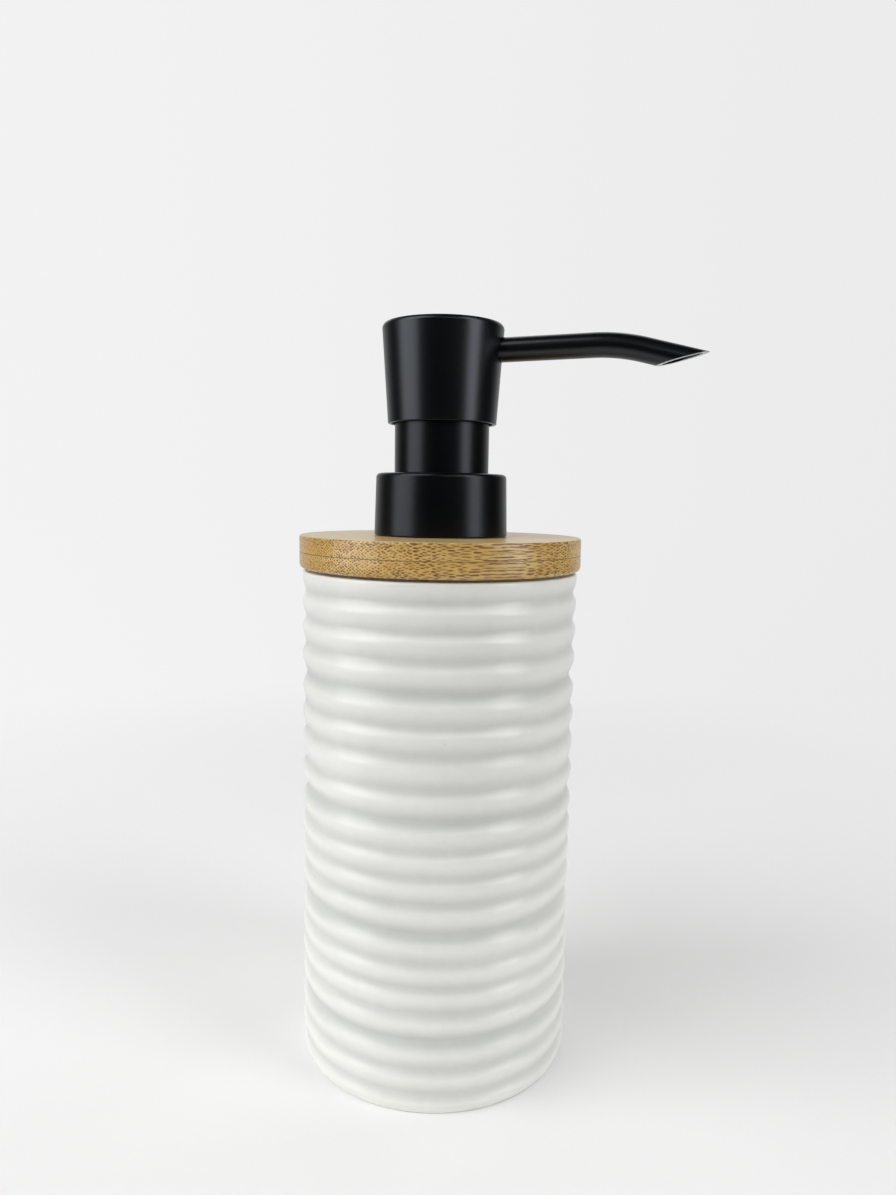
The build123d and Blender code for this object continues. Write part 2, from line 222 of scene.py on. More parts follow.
def makeBamboo(name, skinUp, shift, tone, look=bambooLook):
    # fibre bundles run along the grain: dots on end grain, dashes on side grain, thin lines on the face
    material, graph = newFinish(name)
    place = objectPlace(graph)
    turn = -math.radians(look["grainTurn"])
    split = graph.node("ShaderNodeSeparateXYZ", None, {0: graph.stretch(place, (1, 1, 1), turn, shift)})
    along, across, level = split, split.also("Y"), split.also("Z")
    strip = across / look["stripWidth"]
    stripNumber = strip.maths("FLOOR")
    stripTone = graph.node("ShaderNodeTexWhiteNoise", {"noise_dimensions": "1D"}, {"W": stripNumber + tone})
    glueLine = graph.step((strip - stripNumber - 0.5).maths("ABSOLUTE"), 0.495, 0.4995)
    plyJoint = graph.step((level - skinUp[0]).maths("ABSOLUTE"), 0.13 * mm, 0.05 * mm)
    cloud = graph.noise(graph.stretch(place, look["cloudScale"], turn, shift), 1, 3, 0.55)
    bend = graph.noise(graph.stretch(place, look["bendScale"], turn, shift), 1, 2, 0.5)
    finest = graph.noise(graph.stretch(place, look["fibreScale"], turn, shift), 1, 2, 0.6)
    # the bundles stand in a diagonal lattice across the grain
    bent = graph.node("ShaderNodeSeparateColor", None, {"Color": bend.also("Color")})
    near = across / look["bundleSpread"] + (bent - 0.5) * look["bundleWander"] * 2
    tall = level / look["bundleRows"] + (bent.also("Green") - 0.5) * look["bundleWander"] * 2
    eighthTurn = 0.7071
    lattice = {"X": (near + tall) * eighthTurn, "Y": (tall - near) * eighthTurn}
    cells = {"Vector": graph.node("ShaderNodeCombineXYZ", None, lattice), "Scale": 1.0, "Randomness": 0.5}
    bundle = graph.node("ShaderNodeTexVoronoi", {"feature": "F1", "voronoi_dimensions": "2D"}, cells)
    lot = graph.node("ShaderNodeSeparateColor", None, {"Color": bundle.also("Color")})
    dash = {"W": along / look["dashLength"] + lot.also("Blue") * 61, "Scale": 1.0, "Detail": 1.0}
    broken = graph.node("ShaderNodeTexNoise", {"noise_dimensions": "1D"}, dash)
    # the face shows them lengthwise, and is painted paler: partly its own tone, partly a painted sheen
    facing = graph.node("ShaderNodeNewGeometry", None, None, out="Normal")
    face = graph.step(graph.node("ShaderNodeSeparateXYZ", None, {0: facing}).also("Z"), 0.6, 0.95)
    # and they crowd towards the side of the ply that was the culm's skin
    skin = graph.step(level, *skinUp)
    crowd = 0.275 + 0.10 * skin + (cloud - 0.5) * 0.30 + (lot - 0.5) * 0.10 + (broken - 0.5) * 0.50
    fleck = graph.step(bundle.also("Distance") - crowd, 0.07, -0.12)
    halo = graph.step(bundle.also("Distance") - crowd, 0.30, 0.0)
    ground = graph.blend(0.25 + 0.5 * stripTone, (*look["ground"], 1), (*look["honey"], 1))
    ground = graph.blend(graph.step(cloud, 0.35, 0.75) * 0.5, ground, (*look["pale"], 1))
    ground = graph.blend(finest * 0.25, ground, (*look["honey"], 1))
    colour = graph.blend(halo * 0.25, ground, (*look["fleck"], 1))
    shown = (0.5 + 0.5 * lot.also("Green")) * (1 - 0.7 * face)
    colour = graph.blend(fleck * shown, colour, (*look["fleck"], 1))
    # painted sheen, together with the face's own paler tone: the upward face is made paler
    colour = graph.blend(face * 0.45, colour, (*look["pale"], 1))
    colour = graph.blend(glueLine * 0.3, colour, (*look["fleck"], 1))
    colour = graph.blend(plyJoint * 0.75, colour, (*look["glue"], 1))
    height = finest * 0.35 - fleck * 0.5 - glueLine * 0.5 + cloud * 0.2
    coat(
        graph,
        Base_Color=colour,
        Roughness=look["roughness"] + fleck * 0.10 + (cloud - 0.5) * 0.06,
        Specular_IOR_Level=0.5,
        Coat_Weight=0.35,
        Coat_Roughness=0.18,
        Normal=graph.bump(height, 0.03 * mm, 0.5),
    )
    return material


blackLook = {
    "colour": linear(3, 3.5, 5),
    "dust": linear(14, 16, 19),
    "roughness": 0.291,
    "grain": 5200,
    "peel": 1300,
    "handled": 90,
    "bareRim": linear(214, 214, 212),
    "rimDepth": 0.22 * mm,
}


def makeBlackCoat(name, specular, look=blackLook, cut=None):
    # satin powder coat: a fine even grain with a little handling wear in the gloss,
    # and bare metal along a cut plane, given as a place and the direction into the part
    material, graph = newFinish(name)
    place = objectPlace(graph)
    grain = graph.noise(place, look["grain"], 2, 0.5)
    peel = graph.noise(place, look["peel"], 2, 0.5)
    handled = graph.noise(place, look["handled"], 3, 0.6)
    colour = graph.blend(graph.step(handled, 0.45, 0.9) * 0.10, (*look["colour"], 1), (*look["dust"], 1))
    metal = 0.0
    if cut:
        split = graph.node("ShaderNodeSeparateXYZ", None, {0: place})
        spot, inward = cut
        depth = (split - spot.x * mm) * inward.x + (split.also("Z") - spot.y * mm) * inward.y
        metal = graph.step(depth + (grain - 0.5) * 0.1 * mm, look["rimDepth"], look["rimDepth"] / 2)
        colour = graph.blend(metal, colour, (*look["bareRim"], 1))
    coat(
        graph,
        Base_Color=colour,
        Metallic=metal,
        Roughness=look["roughness"] + (handled - 0.5) * 0.03 + (grain - 0.5) * 0.012,
        Specular_IOR_Level=specular,
        Specular_Tint=(0.84, 0.91, 1.0, 1),
        Normal=graph.bump(grain * 0.5 + peel * 0.7, 0.02 * mm, 0.55),
    )
    return material


def makeMoulded(name, colour, worn, roughness, weight=0.0, depth=0.03):
    # moulded plastic or silicone: soft flow marks and a fine tool texture
    material, graph = newFinish(name)
    place = objectPlace(graph)
    flow = graph.noise(graph.stretch(place, (160, 160, 420)), 1, 3, 0.55)
    skin = graph.noise(place, 3400, 2, 0.5)
    tint = graph.blend(graph.step(flow, 0.3, 0.8), (*colour, 1), (*worn, 1))
    coat(
        graph,
        Base_Color=tint,
        Roughness=roughness + (flow - 0.5) * 0.14,
        Subsurface_Weight=weight,
        Subsurface_Scale=0.002,
        Normal=graph.bump(skin * 0.6 + flow * 0.5, depth * mm, 0.5),
    )
    return material


def makeSteel():
    # drawn and polished stainless: fine marks across the wire or ball
    material, graph = newFinish("polishedSteel")
    place = objectPlace(graph)
    mark = graph.noise(graph.stretch(place, (900, 900, 5200)), 1, 3, 0.6)
    smear = graph.noise(place, 300, 2, 0.5)
    colour = graph.blend(smear, (*linear(205, 207, 210), 1), (*linear(178, 181, 185), 1))
    coat(
        graph,
        Base_Color=colour,
        Metallic=1.0,
        Roughness=0.16 + mark * 0.14,
        Normal=graph.bump(mark, 0.006 * mm, 0.5),
    )
    return material


lidLow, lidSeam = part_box("lid_lower_ply")[0].z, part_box("lid_upper_ply")[0].z
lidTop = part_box("lid_upper_ply")[1].z
finishes = {
    "glaze": makeGlaze(),
    "upperPly": makeBamboo("bambooUpper", (lidSeam, lidTop), (0.003, 0.0012, 0.0), 3.0),
    "lowerPly": makeBamboo("bambooLower", (lidSeam, lidLow), (0.021, 0.0093, 0.0), 8.0),
    "plugPly": makeBamboo("bambooPlug", (0.1, 0.2), (0.051, 0.0031, 0.0), 5.0),
    "black": makeBlackCoat("satinBlackCoat", 0.56),
    # painted shade: the same black coat with weaker gloss, for the collar and sleeve, which get less light
    # than the head
    "shadedBlack": makeBlackCoat("satinBlackCoatShaded", 0.36),
    "blackPlastic": makeMoulded("blackPolymer", linear(24, 25, 27), linear(34, 35, 37), 0.45),
    "whitePlastic": makeMoulded("naturalPolymer", linear(228, 229, 226), linear(214, 216, 212), 0.36, 0.25),
    "pistonPlastic": makeMoulded("softPolymer", linear(206, 216, 224), linear(190, 202, 212), 0.34, 0.3),
    "tube": makeMoulded("tubePolymer", linear(224, 228, 228), linear(208, 213, 214), 0.2, 0.4, 0.015),
    "silicone": makeMoulded("silicone", linear(222, 221, 216), linear(205, 204, 198), 0.48, 0.4),
    "steel": makeSteel(),
}
print("finishes made:", len(finishes))


def arcPoints(before, corner, after, radius, steps):
    # the points of a rounded corner on a half section
    toBefore, toAfter = (before - corner).normalized(), (after - corner).normalized()
    half = math.acos(max(-1.0, min(1.0, toBefore.dot(toAfter)))) / 2
    run = min(radius / math.tan(half), 0.49 * (before - corner).length, 0.49 * (after - corner).length)
    start, end = corner + toBefore * run, corner + toAfter * run
    centre = corner + (toBefore + toAfter).normalized() * (run / math.cos(half))
    points = []
    for number in range(steps + 1):
        spoke = (start - centre).slerp(end - centre, number / steps)
        points.append(centre + spoke.normalized() * (start - centre).length)
    return points


def softSection(corners, steps=5):
    # corners are (radius, height) or (radius, height, rounding), all in millimetres
    points = []
    flat = [Vector(corner[:2]) for corner in corners]
    for number, corner in enumerate(corners):
        if len(corner) < 3:
            points.append(flat[number])
            continue
        before, after = flat[number - 1], flat[(number + 1) % len(flat)]
        points += arcPoints(before, flat[number], after, corner[2], steps)
    return points


def newPiece(name, mesh, finish):
    piece = bpy.data.objects.new(name, mesh)
    bpy.context.scene.collection.objects.link(piece)
    piece.data.materials.clear()
    piece.data.materials.append(finishes[finish])
    return piece


def smoothen(mesh, angle=38):
    mesh.polygons.foreach_set("use_smooth", [True] * len(mesh.polygons))
    mesh.set_sharp_from_angle(angle=math.radians(angle))


def turned(name, section, finish, sides=192):
    # a closed half section, in millimetres, spun about the Z axis
    build = bmesh.new()
    rings = []
    for point in section:
        if point[0] < 1e-6:
            rings.append([build.verts.new((0, 0, point[1] * mm))])
            continue
        ring = []
        for side in range(sides):
            angle = 2 * math.pi * side / sides
            place = (point[0] * mm * math.cos(angle), point[0] * mm * math.sin(angle), point[1] * mm)
            ring.append(build.verts.new(place))
        rings.append(ring)
    for number, low in enumerate(rings):
        high = rings[(number + 1) % len(rings)]
        if len(low) == 1 and len(high) == 1:
            continue
        for side in range(sides):
            after = (side + 1) % sides
            corners = [low[side % len(low)], low[after % len(low)]]
            corners += [high[after % len(high)], high[side % len(high)]]
            build.faces.new(list(dict.fromkeys(corners)))
    bmesh.ops.recalc_face_normals(build, faces=build.faces)
    mesh = bpy.data.meshes.new(name)
    build.to_mesh(mesh)
    build.free()
    smoothen(mesh)
    return newPiece(name, mesh, finish)


def evenShade(piece):
    # keeps broad flats flat beside their rounded edges
    weighted = piece.modifiers.new("evenShade", "WEIGHTED_NORMAL")
    weighted.keep_sharp = True
    weighted.weight = 80


def bake(piece):
    # the evaluated shape as a plain mesh, with no modifier left
    shown = piece.evaluated_get(bpy.context.evaluated_depsgraph_get())
    mesh = bpy.data.meshes.new_from_object(shown)
    name = piece.name
    old = piece.data
    bpy.data.objects.remove(piece)
    bpy.data.meshes.remove(old)
    made = bpy.data.objects.new(name, mesh)
    bpy.context.scene.collection.objects.link(made)
    return made


def settle(piece, body, slot, *nodes):
    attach(piece, body)
    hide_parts(*nodes)


bottleLow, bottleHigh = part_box("bottle")
ribbedBottle = {
    "height": bottleHigh.z / mm,
    "crestRadius": 36.7,
    "footRadius": 35.9,
    "mouthRadius": 31.6,
    "floor": 6.0,
    "ribWidth": 5.2,
    "grooveWidth": 1.5,
    "grooveDepth": 0.88,
    "wideGrooveWidth": 3.4,
    "wideGrooveDepth": 1.22,
    "grooves": 18,
    "wideEvery": 4,
    "topGroove": 127.0,
    "topSpacing": 1.035,
    "footSpacing": 0.935,
    "broadRib": 6,
    "broadRibExtra": 1.7,
    "underShare": 0.60,
    "shoulderShare": 0.40,
    "wideShoulderShare": 0.52,
    "underBend": 0.72,
    "shoulderBend": 1.4,
    "wander": 0.55,
    "ripple": 0.06,
    "seed": 7.0,
    "sides": 224,
    "ringsPerRib": 17,
    "rimRound": 1.5,
    "lidGap": 0.6,
    "shelfRadius": 33.5,
    "landRadius": 33.0,
    "footRound": 0.55,
    "mouthRound": 0.5,
    "floorRound": 5,
    "driftScale": (14, 14, 42),
    "softScale": (22, 22, 110),
    "lineScale": (24, 24, 620),
}


def grooveRule(rule):
    # the level of each groove and whether it is a wide one, rim to foot
    levels = []
    level = rule["topGroove"]
    lastWidth = 0.0
    for number in range(rule["grooves"]):
        wide = number % rule["wideEvery"] == rule["wideEvery"] - 1
        width = rule["wideGrooveWidth"] if wide else rule["grooveWidth"]
        if number > 0:
            share = level / rule["topGroove"]
            spacing = rule["footSpacing"] + (rule["topSpacing"] - rule["footSpacing"]) * share
            level -= spacing * (rule["ribWidth"] + (width + lastWidth) / 2)
        if number == rule["broadRib"]:
            level -= rule["broadRibExtra"]
        levels.append((level, wide))
        lastWidth = width
    return levels


def wallRings(rule):
    # ring heights for the outer wall, closest together in the grooves
    stops = [rule["height"] - rule["lidGap"] - rule["rimRound"]]
    stops += [level for level, wide in grooveRule(rule)] + [1.0]
    heights = []
    for above, below in zip(stops, stops[1:]):
        for number in range(rule["ringsPerRib"]):
            share = (1 - math.cos(math.pi * number / rule["ringsPerRib"])) / 2
            heights.append(above + (below - above) * share)
    return heights + [stops[-1]]


def plainRadius(rule, height):
    # the wall without its ribs, drawn in a little at the foot
    lift = max(0.0, 1 - height / 4.0)
    return rule["crestRadius"] - (rule["crestRadius"] - rule["footRadius"]) * lift**2


def ribTree():
    # carves the grooves into the wall and gives it the wander of a hand-thrown pot
    tree = bpy.data.node_groups.new("throwRibs", "GeometryNodeTree")
    tree.interface.new_socket("Geometry", in_out="INPUT", socket_type="NodeSocketGeometry")
    sizes = ("Groove Depth", "Wide Depth", "Under Bend", "Shoulder Bend", "Wander", "Ripple", "Seed")
    for name in sizes:
        tree.interface.new_socket(name, in_out="INPUT", socket_type="NodeSocketFloat")
    tree.interface.new_socket("Material", in_out="INPUT", socket_type="NodeSocketMaterial")
    tree.interface.new_socket("Geometry", in_out="OUTPUT", socket_type="NodeSocketGeometry")
    graph = Graph(tree)
    given = graph.node("NodeGroupInput")
    place = graph.node("GeometryNodeInputPosition")
    split = graph.node("ShaderNodeSeparateXYZ", None, {0: place})
    named = {"Name": "wallShare"}
    wall = graph.node("GeometryNodeInputNamedAttribute", {"data_type": "FLOAT"}, named)
    tall = split.also("Z") / mm
    radius = (split * split + split.also("Y") * split.also("Y")).maths("SQRT") / mm

    def seeded(scale, seedStep, detail):
        spread = graph.node("ShaderNodeVectorMath", {"operation": "MULTIPLY"}, {0: place, 1: scale})
        values = {"Vector": spread, "W": given.also("Seed") + seedStep, "Scale": 1.0, "Detail": detail}
        return graph.node("ShaderNodeTexNoise", {"noise_dimensions": "4D"}, values)

    drift = seeded(ribbedBottle["driftScale"], 0, 1.5)
    soft = seeded(ribbedBottle["softScale"], 5, 1.0)
    lines = seeded(ribbedBottle["lineScale"], 9, 2.0)
    tall = tall + (drift - 0.5) * given.also("Wander") * 2
    levels = grooveRule(ribbedBottle)
    dent = None
    for number, (level, wide) in enumerate(levels):
        above = levels[number - 1][0] if number else ribbedBottle["height"] + 1
        below = levels[number + 1][0] if number + 1 < len(levels) else -2.0
        depth = given.also("Wide Depth" if wide else "Groove Depth")
        upper = (above - level) * ribbedBottle["underShare"]
        lower = (level - below) * ribbedBottle["wideShoulderShare" if wide else "shoulderShare"]
        # a rib's under side curves slowly in to the groove, and its shoulder turns out of it more sharply
        under = ((tall - level) / upper).maths("MAXIMUM", 0.0).maths("MINIMUM", 1.0)
        shoulder = ((level - tall) / lower).maths("MAXIMUM", 0.0).maths("MINIMUM", 1.0)
        bent = under ** given.also("Under Bend") + shoulder ** given.also("Shoulder Bend")
        groove = (0.5 + 0.5 * (bent * math.pi).maths("COSINE")) * depth
        dent = groove if dent is None else dent + groove
    cut = (dent * (0.55 + 0.9 * soft) + lines * given.also("Ripple")) * wall
    shrink = 1 - cut / radius.maths("MAXIMUM", 1.0)
    moved = graph.node(
        "ShaderNodeCombineXYZ", None, {0: split * shrink, 1: split.also("Y") * shrink, 2: split.also("Z")}
    )
    thrown = graph.node("GeometryNodeSetPosition", None, {"Geometry": given, "Position": moved})
    # the groove depth is kept for the glaze, which paints the grooves darker with it: painted shade as well
    # as pooled glaze
    stored = {"Geometry": thrown, "Name": "poolingAndShade", "Value": dent * wall}
    kept = graph.node("GeometryNodeStoreNamedAttribute", {"data_type": "FLOAT", "domain": "POINT"}, stored)
    real = graph.node("GeometryNodeRealizeInstances", None, {"Geometry": kept})
    dressed = {"Geometry": real, "Material": given.also("Material")}
    graph.node("NodeGroupOutput", None, {0: graph.node("GeometryNodeSetMaterial", None, dressed)})
    return tree


def setInputs(modifier, tree, values):
    # inputs are set by identifier, because names aren't unique
    for item in tree.interface.items_tree:
        if item.in_out == "INPUT" and item.name in values:
            modifier[item.identifier] = values[item.name]


def makeBottle(rule=ribbedBottle):
    heights = wallRings(rule)
    section = [Vector((0, 0)), Vector((12, 0)), Vector((26, 0)), Vector((33.5, 0))]
    footCorner, footTop = Vector((rule["footRadius"], 0)), Vector((plainRadius(rule, 1.0), 1.0))
    section += arcPoints(section[-1], footCorner, footTop, rule["footRound"], 5)
    section += [Vector((plainRadius(rule, height), height)) for height in reversed(heights)]
    # the lid rests on a narrow land, so a dark line shows between it and the wall
    shelf = rule["height"] - rule["lidGap"]
    rimOut = Vector((plainRadius(rule, shelf), shelf))
    rimIn = Vector((rule["mouthRadius"], rule["height"]))
    shelfEnd = Vector((rule["shelfRadius"], shelf))
    section += arcPoints(section[-1], rimOut, shelfEnd, rule["rimRound"], 9)
    section += [shelfEnd, Vector((rule["landRadius"], rule["height"]))]
    section += arcPoints(section[-1], rimIn, Vector((rule["mouthRadius"], 120)), rule["mouthRound"], 4)
    section += [Vector((rule["mouthRadius"], height)) for height in range(126, 12, -6)]
    floorCorner = Vector((rule["mouthRadius"], rule["floor"]))
    wallFoot, floorMiddle = Vector((rule["mouthRadius"], 14)), Vector((10, rule["floor"]))
    section += arcPoints(wallFoot, floorCorner, floorMiddle, rule["floorRound"], 8)
    section += [Vector((16, rule["floor"])), Vector((0, rule["floor"]))]
    pot = turned("ribbedBottle", section, "glaze", rule["sides"])
    wall = pot.data.attributes.new("wallShare", "FLOAT", "POINT")
    bare = pot.data.attributes.new("bareFoot", "FLOAT", "POINT")
    inner = rule["mouthRadius"] + 2
    for vertex in pot.data.vertices:
        wide = math.hypot(vertex.co.x, vertex.co.y) / mm
        tall = vertex.co.z / mm
        outside = wide > inner and tall > 0.2
        ease = min(1.0, max(0.0, (tall - 0.8) / 2.0), max(0.0, (rule["height"] - tall - 0.6) / 2.0))
        wall.data[vertex.index].value = ease if outside else 0.0
        bare.data[vertex.index].value = 1.0 if tall < 0.02 and wide < 34.5 else 0.0
    tree = ribTree()
    ribs = pot.modifiers.new("throwRibs", "NODES")
    ribs.node_group = tree
    setInputs(ribs, tree, {
        "Groove Depth": rule["grooveDepth"],
        "Wide Depth": rule["wideGrooveDepth"],
        "Under Bend": rule["underBend"],
        "Shoulder Bend": rule["shoulderBend"],
        "Wander": rule["wander"],
        "Ripple": rule["ripple"],
        "Seed": rule["seed"],
        "Material": finishes["glaze"],
    })
    pot = bake(pot)
    smoothen(pot.data, 60)
    return pot


bottlePiece = makeBottle()
settle(bottlePiece, "bottle", "glaze", "bottle")
print("bottle thrown:", len(bottlePiece.data.polygons), "faces")


bambooLid = {
    "radius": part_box("lid_upper_ply")[1].y / mm,
    "bore": 14.3,
    "topEdge": 0.55,
    "bottomRound": 1.35,
    "seamNick": 0.06,
    "plugRadius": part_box("lid_plug")[1].y / mm,
    "sealGroove": 29.2,
}


def makeLid(lid=bambooLid):
    low, seam, top = lidLow / mm, lidSeam / mm, lidTop / mm
    nick = lid["seamNick"]
    upper = softSection([
        (lid["bore"], seam),
        (lid["radius"] - nick, seam),
        (lid["radius"], seam + nick, 0.05),
        (lid["radius"], top, lid["topEdge"]),
        (lid["bore"], top),
    ])
    lower = softSection([
        (lid["bore"], low),
        (lid["radius"], low, lid["bottomRound"]),
        (lid["radius"], seam - nick, 0.05),
        (lid["radius"] - nick, seam),
        (lid["bore"], seam),
    ])
    upperPiece = turned("lidUpperPly", upper, "upperPly", 256)
    lowerPiece = turned("lidLowerPly", lower, "lowerPly", 256)
    for piece, node in ((upperPiece, "lid_upper_ply"), (lowerPiece, "lid_lower_ply")):
        evenShade(piece)
        settle(piece, "lid", "bamboo", node)


makeLid()


collarBox, sleeveBox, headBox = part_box("collar_shell"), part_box("sleeve"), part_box("head_shell")
blackParts = {
    "collarBottomRadius": 17.75,
    "collarTopRadius": 17.30,
    "collarWall": 0.6,
    "collarBevel": 1.15,
    "sleeveRadius": 12.5,
    "sleeveBore": 11.7,
    "flangeRadius": 15.5,
    "headBottomRadius": 14.35,
    "headTopRadius": 16.0,
    "headWall": 1.0,
    "headBevel": 0.6,
    "headBreak": 0.42,
    "headBreakIn": 0.12,
    "spoutHole": 3.28,
}


def makeCollar(part=blackParts):
    low, high = collarBox[0].z / mm, collarBox[1].z / mm
    bevel, wall = part["collarBevel"], part["collarWall"]
    section = softSection([
        (part["collarBottomRadius"] - wall, low, 0.15),
        (part["collarBottomRadius"], low, 0.22),
        (part["collarTopRadius"] + 0.02, high, bevel),
        (part["sleeveRadius"] + 0.1, high, 0.2),
        (part["sleeveRadius"] + 0.1, high - wall),
        (part["collarTopRadius"] - wall - bevel, high - wall, 0.3),
        (part["collarTopRadius"] - wall, high - wall - bevel, 0.3),
    ])
    collar = turned("collarShell", section, "shadedBlack", 192)
    evenShade(collar)
    settle(collar, "collar", "black_coat", "collar_shell")


def makeSleeve(part=blackParts):
    low, high = sleeveBox[0].z / mm, sleeveBox[1].z / mm
    section = softSection([
        (part["sleeveBore"], low),
        (part["flangeRadius"], low, 0.1),
        (part["flangeRadius"], low + 0.8, 0.1),
        (part["sleeveRadius"], low + 0.8),
        (part["sleeveRadius"], high, 0.3),
        (part["sleeveBore"], high, 0.2),
    ])
    sleeve = turned("fixedSleeve", section, "shadedBlack", 192)
    evenShade(sleeve)
    settle(sleeve, "collar", "black_coat", "sleeve")


spout = {
    "radius": 3.15,
    "bore": 2.5,
    "axisHeight": 189.0,
    "rise": math.radians(1.7),
    "innerEnd": 4.5,
    "straightEnd": 39.0,
    "bendRadius": 47.0,
    "bend": math.radians(16.1),
    "tip": Vector((66.7, 187.7)),
    "heel": Vector((54.7, 184.6)),
    "lipRound": 0.2,
    "sides": 72,
}


def makeHead(part=blackParts):
    low, high = headBox[0].z / mm, headBox[1].z / mm
    bevel, wall = part["headBevel"], part["headWall"]
    section = softSection([
        (part["headBottomRadius"] - wall, low, 0.25),
        (part["headBottomRadius"], low, 0.3),
        (part["headTopRadius"], high - bevel - part["headBreak"], 0.5),
        (part["headTopRadius"] - part["headBreakIn"], high - bevel, 0.12),
        (part["headTopRadius"] - bevel * 0.9, high, 0.25),
        (0, high),
        (0, high - wall),
        (part["headTopRadius"] - wall - 0.3, high - wall, 0.4),
    ])
    head = turned("headCap", section, "black", 192)
    hole = bmesh.new()
    side = Matrix.Rotation(math.pi / 2 - spout["rise"], 4, "Y")
    lift = Matrix.Translation((16 * mm, 0, (spout["axisHeight"] + 16 * math.tan(spout["rise"])) * mm))
    bmesh.ops.create_cone(
        hole, cap_ends=True, segments=72, radius1=part["spoutHole"] * mm,
        radius2=part["spoutHole"] * mm, depth=8 * mm, matrix=lift @ side,
    )
    holeMesh = bpy.data.meshes.new("spoutHole")
    hole.to_mesh(holeMesh)
    hole.free()
    cutter = bpy.data.objects.new("spoutHole", holeMesh)
    bpy.context.scene.collection.objects.link(cutter)
    drill = head.modifiers.new("drill", "BOOLEAN")
    drill.operation = "DIFFERENCE"
    drill.solver = "EXACT"
    drill.object = cutter
    head = bake(head)
    bpy.data.objects.remove(cutter)
    bpy.data.meshes.remove(holeMesh)
    smoothen(head.data, 32)
    evenShade(head)
    settle(head, "plunger", "black_coat", "head_shell")


def cutDirection(part=spout):
    # square to the slanted cut, in the X-Z plane, towards the head
    edge = part["tip"] - part["heel"]
    return Vector((-edge.y, edge.x)).normalized()


def spoutStations(part=spout):
    # centre and direction along the tube, in the X-Z plane, up to where the slanted cut begins
    rise, bend = part["rise"], part["bend"]
    start = Vector((0, part["axisHeight"]))
    ahead = Vector((math.cos(rise), math.sin(rise)))
    stations = []
    for number in range(25):
        run = part["innerEnd"] + (part["straightEnd"] - part["innerEnd"]) * number / 24
        stations.append((start + ahead * run, rise))
    corner = stations[-1][0]
    centre = corner + Vector((math.sin(rise), -math.cos(rise))) * part["bendRadius"]
    for number in range(1, 33):
        slope = rise - bend * number / 32
        stations.append((centre + Vector((-math.sin(slope), math.cos(slope))) * part["bendRadius"], slope))
    return stations


def spoutRing(build, part, centre, slope, radius, cut=False):
    ring = []
    ahead = Vector((math.cos(slope), math.sin(slope)))
    over = Vector((-math.sin(slope), math.cos(slope)))
    normal = cutDirection(part)
    for side in range(part["sides"]):
        angle = 2 * math.pi * side / part["sides"]
        spot = centre + over * (radius * math.cos(angle))
        if cut:
            spot = spot + ahead * ((part["heel"] - spot).dot(normal) / ahead.dot(normal))
        ring.append(build.verts.new((spot.x * mm, radius * math.sin(angle) * mm, spot.y * mm)))
    return ring


def makeSpout(part=spout):
    # thin-walled bent tube: outer skin out to the slanted cut, then the bore back to the inner end
    build = bmesh.new()
    stations = spoutStations(part)
    last, slope = stations[-1]
    nib = part["lipRound"]
    loops = [spoutRing(build, part, centre, angle, part["radius"]) for centre, angle in stations]
    loops.append(spoutRing(build, part, last, slope, part["radius"], True))
    loops.append(spoutRing(build, part, last, slope, part["bore"], True))
    loops += [spoutRing(build, part, centre, angle, part["bore"]) for centre, angle in reversed(stations)]
    loops.append(loops[0])
    for near, far in zip(loops, loops[1:]):
        for side in range(part["sides"]):
            after = (side + 1) % part["sides"]
            build.faces.new((near[side], near[after], far[after], far[side]))
    bmesh.ops.recalc_face_normals(build, faces=build.faces)
    mesh = bpy.data.meshes.new("spoutTube")
    build.to_mesh(mesh)
    build.free()
    smoothen(mesh, 40)
    finishes["cutBlack"] = makeBlackCoat("satinBlackCoatCut", 0.56, cut=(part["heel"], cutDirection(part)))
    tube = newPiece("spoutTube", mesh, "cutBlack")
    rounding = tube.modifiers.new("softLip", "BEVEL")
    rounding.width = nib * mm
    rounding.segments = 3
    rounding.limit_method = "ANGLE"
    rounding.angle_limit = math.radians(50)
    tube = bake(tube)
    smoothen(tube.data, 60)
    evenShade(tube)
    settle(tube, "plunger", "black_coat", "spout_tube")


makeCollar()
makeSleeve()
makeHead()
makeSpout()
print("black parts made")


# inner parts: node, then body, slot and finish
innerParts = {
    "lid_plug": ("lid", "bamboo", "plugPly"),
    "lid_seal_ring": ("lid", "silicone", "silicone"),
    "neck_bushing": ("lid", "black_plastic", "blackPlastic"),
    "collar_insert": ("collar", "black_plastic", "blackPlastic"),
    "neck_gasket": ("pump", "silicone", "silicone"),
    "pump_cylinder": ("pump", "white_plastic", "whitePlastic"),
    "stem_guide": ("pump", "white_plastic", "whitePlastic"),
    "dip_tube": ("pump", "clear_tube", "tube"),
    "inlet_ball": ("inlet_valve", "ball_steel", "steel"),
    "piston_stem": ("plunger", "white_plastic", "whitePlastic"),
    "piston_rod": ("plunger", "white_plastic", "whitePlastic"),
    "piston_seal": ("piston", "piston_plastic", "pistonPlastic"),
    "outlet_ball": ("outlet_valve", "ball_steel", "steel"),
    "head_core": ("plunger", "black_plastic", "blackPlastic"),
}


def makeInner(node, body, slot, finish, angle=32):
    # the turned or moulded shape from its node, merged so that it shades smoothly
    build = bmesh.new()
    build.from_mesh(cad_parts[node].data)
    bmesh.ops.remove_doubles(build, verts=build.verts, dist=0.000002)
    mesh = bpy.data.meshes.new(node)
    build.to_mesh(mesh)
    build.free()
    smoothen(mesh, angle)
    words = node.split("_")
    piece = newPiece(words[0] + "".join(word.capitalize() for word in words[1:]), mesh, finish)
    evenShade(piece)
    settle(piece, body, slot, node)


for node, (body, slot, finish) in innerParts.items():
    makeInner(node, body, slot, finish)
# the spring is pressed with its joint, so its own node stays
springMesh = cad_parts["main_spring"].data
springMesh.materials.clear()
springMesh.materials.append(finishes["steel"])
print("inner parts dressed")


